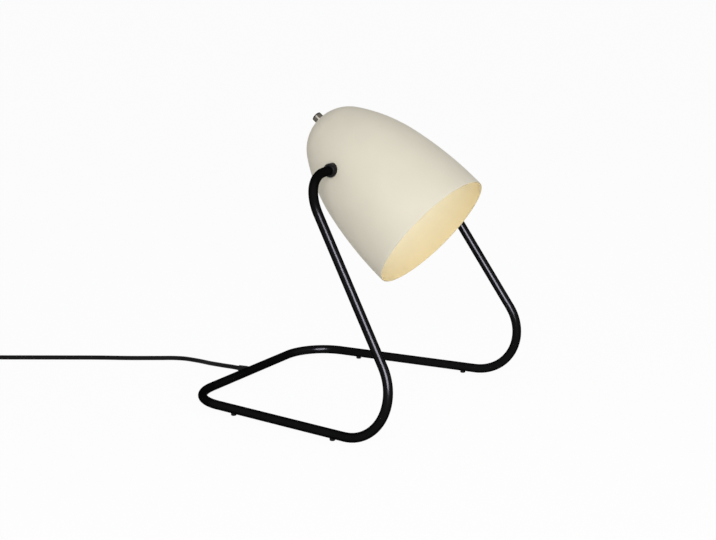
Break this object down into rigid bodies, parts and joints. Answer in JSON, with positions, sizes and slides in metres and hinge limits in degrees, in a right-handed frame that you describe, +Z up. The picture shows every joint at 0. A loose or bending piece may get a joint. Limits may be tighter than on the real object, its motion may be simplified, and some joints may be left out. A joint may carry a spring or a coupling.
{
  "type": "table lamp",
  "caption": "Table lamp with a cream bell-shaped metal shade that tilts between the ends of one bent black tube stand, with a push-button switch at the tip.",
  "frame": {"origin": "on the floor under the middle of the lamp's width and depth, without its cord", "axes": "+Z up, -Y the way the light is thrown, +X to the right of someone who faces the lamp"},
  "size_m": [0.4195, 0.6672, 0.3238],
  "materials": {
    "frame_paint": "satin black powder coat",
    "shade_paint": "satin cream powder coat",
    "black_plastic": "moulded, satin",
    "grey_plastic": "moulded, natural",
    "soft_black": "soft, matte",
    "nickel": "polished nickel plate",
    "brass": "stamped",
    "ceramic": "glazed",
    "opal_glass": "opal"
  },
  "bodies": {
    "frame": {"frame_tube": "frame_paint", "foot_front_left": "soft_black", "foot_front_right": "soft_black", "foot_rear_left": "soft_black", "foot_rear_right": "soft_black", "strain_relief": "soft_black", "lead_in_tube": "soft_black", "tube_end_guard": "grey_plastic", "disc_spring_left": "nickel", "disc_spring_right": "nickel", "pivot_nut_left": "nickel", "pivot_nut_right": "nickel", "mains_cord": "soft_black", "cord_coil": "soft_black", "cord_tail": "soft_black", "cord_tie": "black_plastic", "plug_body": "black_plastic", "plug_pins": "nickel"},
    "shade": {"shade": "shade_paint", "pivot_bush_left": "black_plastic", "pivot_bush_right": "black_plastic", "inner_bush_left": "grey_plastic", "inner_bush_right": "grey_plastic", "lead_in_shade": "soft_black", "switch_barrel": "nickel", "switch_ring_nut": "nickel", "barrel_nut": "nickel", "switch_spring": "nickel", "switch_contacts": "brass", "holder_cap": "black_plastic", "holder_insert": "ceramic", "terminal_screws": "brass", "holder_shell": "black_plastic", "screw_shell": "brass", "centre_contact": "brass", "bulb_cap": "nickel", "bulb_contact": "nickel", "bulb_globe": "opal_glass"},
    "button": {"push_button": "nickel", "plunger": "grey_plastic", "contact_bridge": "brass"}
  },
  "joints": [
    {"name": "shade_tilt", "type": "hinge", "parent": "frame", "child": "shade", "pos_m": [0, -0.013, 0.265], "axis": [1, 0, 0], "range_deg": [-70, 80]},
    {"name": "switch_press", "type": "slide", "parent": "shade", "child": "button", "axis": [0, -0.7869, -0.617], "range_m": [0, 0.003], "stiffness_N_per_m": 900, "springref_m": -0.002, "deforming": ["switch_spring"]}
  ]
}
